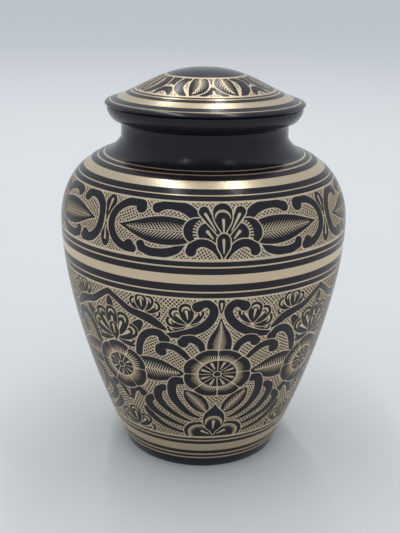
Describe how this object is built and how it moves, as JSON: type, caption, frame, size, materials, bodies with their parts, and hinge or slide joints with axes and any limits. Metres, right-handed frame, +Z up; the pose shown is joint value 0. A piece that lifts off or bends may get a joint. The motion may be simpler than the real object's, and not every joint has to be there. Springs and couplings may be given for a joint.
{
  "type": "cremation urn",
  "caption": "Round-bellied brass cremation urn with a short neck, a collar and a low domed lift-off lid, engraved with bands of leaves, scrolls and rosettes.",
  "frame": {"origin": "middle of the foot's underside, where the urn stands", "axes": "+Z up along the axis of the vessel, -Y towards the engraved front panel"},
  "size_m": [0.1786, 0.1786, 0.2437],
  "materials": {
    "lacquered_brass": "brass under glossy near-black lacquer, cut through to bare satin brass in the engraved bands",
    "bare_brass": "bare brass, finely turned on the plain bands and hatched by hand in the ground of the ornament"
  },
  "bodies": {
    "root": {"urn_belly": "lacquered_brass", "urn_shoulder": "lacquered_brass", "lid": "lacquered_brass"}
  },
  "joints": []
}
